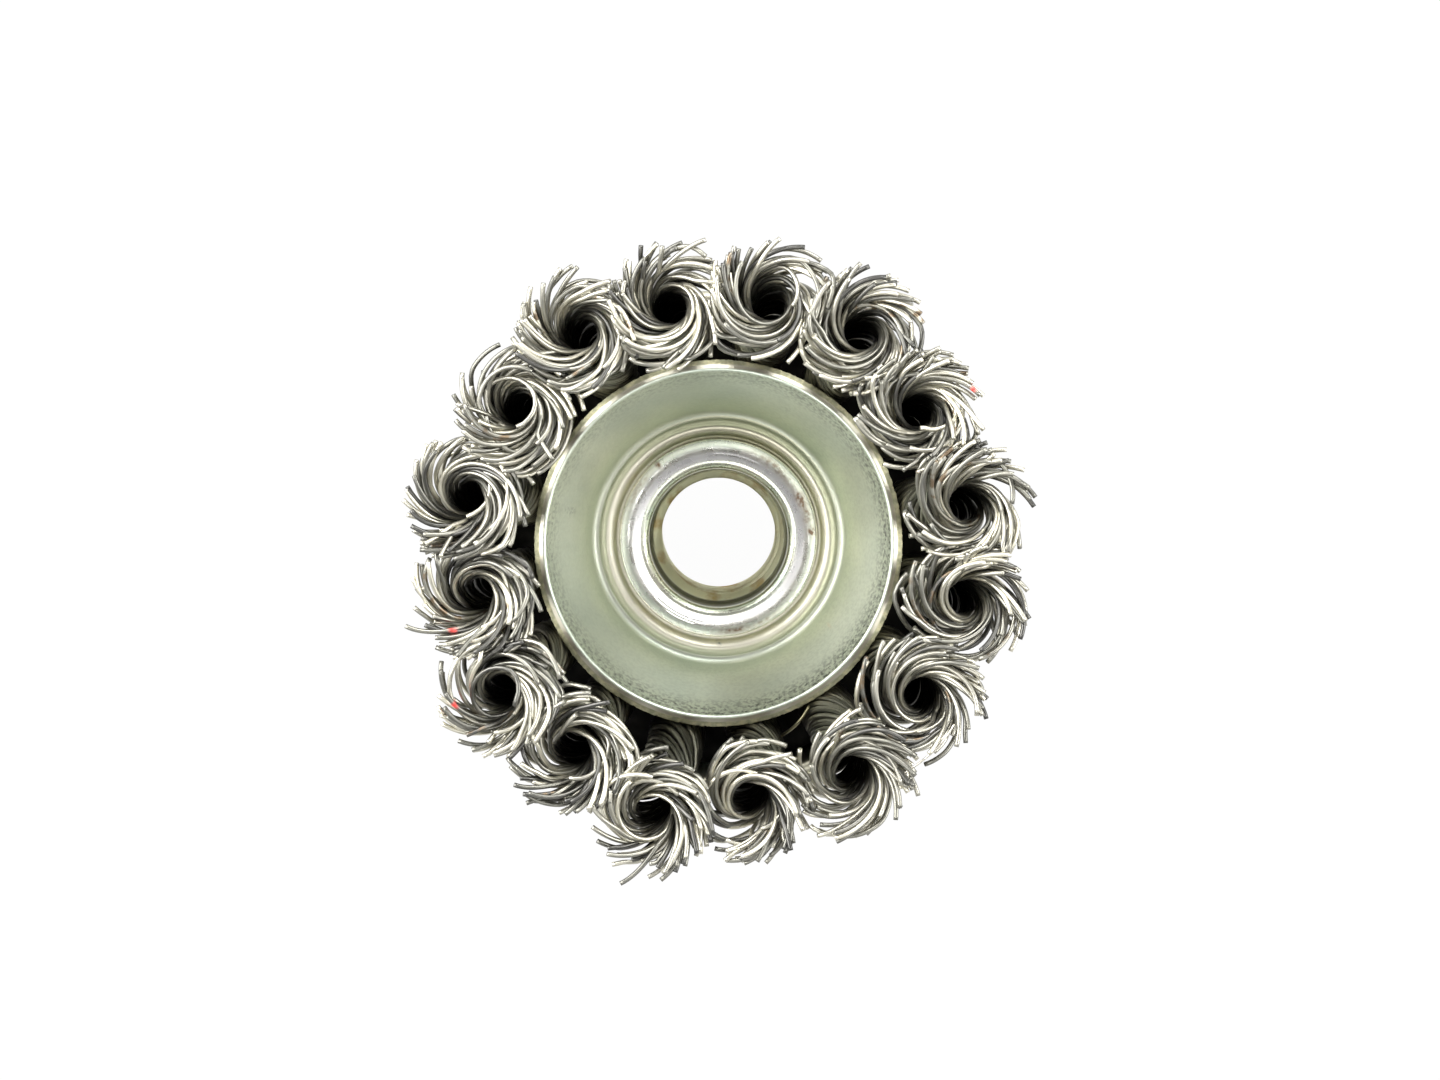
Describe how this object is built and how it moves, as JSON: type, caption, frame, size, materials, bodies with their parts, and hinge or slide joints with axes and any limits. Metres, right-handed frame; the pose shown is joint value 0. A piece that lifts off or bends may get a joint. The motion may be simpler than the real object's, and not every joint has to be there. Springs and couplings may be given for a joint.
{
  "type": "wire cup brush",
  "caption": "Cup brush for an angle grinder: a ring of twisted steel wire knots with flared tips, held between a pressed cup and an inner dish on a threaded hub.",
  "frame": {"origin": "on the spindle's axis, in the back face of the hub's hexagon, where the thread begins", "axes": "+Z along the spindle's axis, from the hub towards the wire tips; X and Y lie across the brush"},
  "size_m": [0.0631, 0.0641, 0.0419],
  "materials": {
    "hub_steel": "turned and burnished steel with a few brown stains",
    "plated_sheet": "pressed sheet steel, zinc plated, pale green-grey satin",
    "plate_steel": "punched bare sheet steel",
    "knot_wire": "drawn carbon steel wire, oiled"
  },
  "bodies": {
    "root": {"threaded_hub": "hub_steel", "cup_shell": "plated_sheet", "knot_plate": "plate_steel", "inner_dish": "plated_sheet", "knot_01": "knot_wire", "knot_02": "knot_wire", "knot_03": "knot_wire", "knot_04": "knot_wire", "knot_05": "knot_wire", "knot_06": "knot_wire", "knot_07": "knot_wire", "knot_08": "knot_wire", "knot_09": "knot_wire", "knot_10": "knot_wire", "knot_11": "knot_wire", "knot_12": "knot_wire", "knot_13": "knot_wire", "knot_14": "knot_wire", "knot_15": "knot_wire", "knot_16": "knot_wire"}
  },
  "joints": []
}
